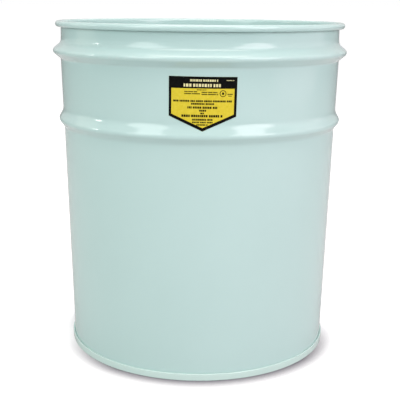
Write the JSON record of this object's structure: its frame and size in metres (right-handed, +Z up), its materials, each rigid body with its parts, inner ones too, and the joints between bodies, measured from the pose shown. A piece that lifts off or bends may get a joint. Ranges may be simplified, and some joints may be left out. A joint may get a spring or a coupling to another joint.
{
  "type": "open-head steel drum",
  "caption": "Open-head steel drum with a slightly tapered side wall, curled rim, two ring beads near the mouth, double-seamed bottom chime and a five-sided label.",
  "frame": {"origin": "centre of the foot, on the surface the drum stands on", "axes": "+Z up along the drum's axis to the open mouth, -Y towards the label, +Y towards the side seam"},
  "size_m": [0.3936, 0.3935, 0.4401],
  "materials": {
    "drum_enamel": "gloss",
    "seam_compound": "matt",
    "label_yellow": "satin",
    "label_black": "satin"
  },
  "bodies": {
    "root": {"body_shell": "drum_enamel", "side_seam_weld": "drum_enamel", "bottom_head": "drum_enamel", "seam_compound": "seam_compound", "label_film": "label_yellow", "label_print": "label_black"}
  },
  "joints": []
}
